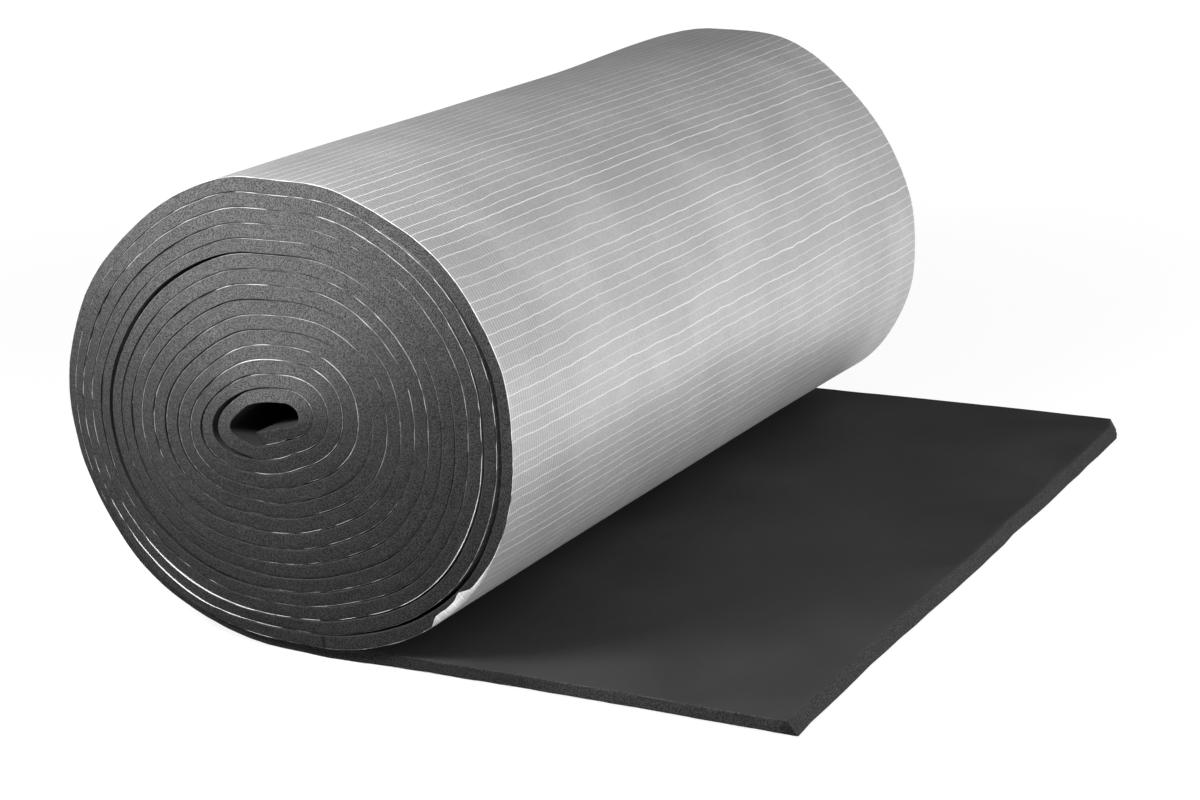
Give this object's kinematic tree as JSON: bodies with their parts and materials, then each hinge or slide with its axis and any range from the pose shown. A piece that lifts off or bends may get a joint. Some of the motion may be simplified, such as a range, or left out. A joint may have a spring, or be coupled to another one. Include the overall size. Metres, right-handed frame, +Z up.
{
  "type": "insulation roll",
  "caption": "Roll of black elastomeric foam insulation with a silver reinforced facing, wound facing outward, its free end unrolled flat on the floor.",
  "frame": {"origin": "on the floor, under the middle of the wound roll and at the middle of the sheet's width, where the facing rests", "axes": "+Y along the roll's axis, from the near end with the open eye to the far end; +X towards the unrolled free end; +Z up"},
  "size_m": [0.7658, 1, 0.4658],
  "materials": {
    "foam": "matt closed-cell foam, cut faces finely speckled",
    "facing": "satin reinforced foil with pale threads across the sheet"
  },
  "bodies": {
    "root": {"foam_sheet": "foam", "foil_facing": "facing"}
  },
  "joints": []
}
